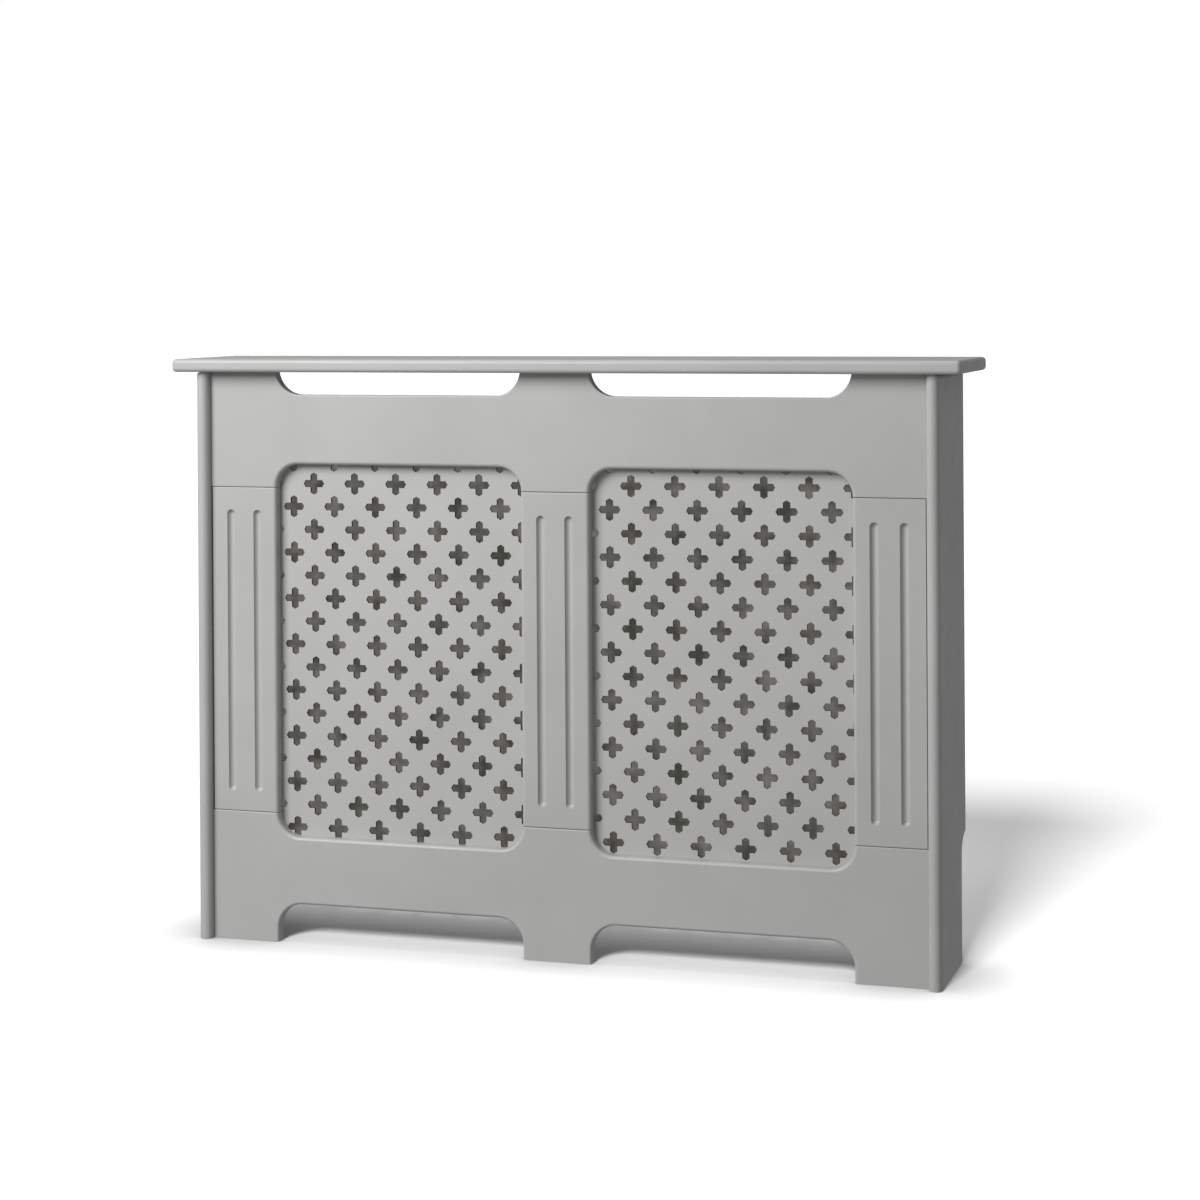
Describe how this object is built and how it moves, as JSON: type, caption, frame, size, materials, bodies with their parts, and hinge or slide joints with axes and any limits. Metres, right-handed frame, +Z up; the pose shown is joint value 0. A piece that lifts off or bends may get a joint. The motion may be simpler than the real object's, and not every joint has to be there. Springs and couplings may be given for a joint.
{
  "type": "radiator cover cabinet",
  "caption": "Painted radiator cover cabinet with a shelf, fluted front stiles and perforated cross-pattern sheets, open at the back and base.",
  "frame": {"origin": "on the floor, under the middle of the shelf's length and depth", "axes": "+X along the front to the right as seen from the room, +Y towards the wall, +Z up; the front faces -Y"},
  "size_m": [1.116, 0.2, 0.815],
  "materials": {
    "paint": "warm light grey satin paint on fibreboard",
    "sheet_paint": "the same satin paint on a thin perforated fibreboard sheet",
    "dowel_beech": "bare beech",
    "bracket_steel": "zinc-plated steel"
  },
  "bodies": {
    "root": {"shelf_top": "paint", "side_panel_left": "paint", "side_panel_right": "paint", "front_top_rail": "paint", "front_bottom_rail": "paint", "front_stile_left": "paint", "front_stile_centre": "paint", "front_stile_right": "paint", "grille_left": "sheet_paint", "grille_right": "sheet_paint", "dowel_lower_left_1": "dowel_beech", "dowel_lower_left_2": "dowel_beech", "dowel_lower_centre_1": "dowel_beech", "dowel_lower_centre_2": "dowel_beech", "dowel_lower_right_1": "dowel_beech", "dowel_lower_right_2": "dowel_beech", "dowel_upper_left_1": "dowel_beech", "dowel_upper_left_2": "dowel_beech", "dowel_upper_centre_1": "dowel_beech", "dowel_upper_centre_2": "dowel_beech", "dowel_upper_right_1": "dowel_beech", "dowel_upper_right_2": "dowel_beech", "bracket_frame_low_left": "bracket_steel", "bracket_frame_low_right": "bracket_steel", "bracket_frame_high_left": "bracket_steel", "bracket_frame_high_right": "bracket_steel", "bracket_shelf_front_centre": "bracket_steel", "bracket_shelf_front_left": "bracket_steel", "bracket_shelf_front_right": "bracket_steel", "bracket_shelf_side_left": "bracket_steel", "bracket_shelf_side_right": "bracket_steel", "bracket_wall_left": "bracket_steel", "bracket_wall_right": "bracket_steel"}
  },
  "joints": []
}
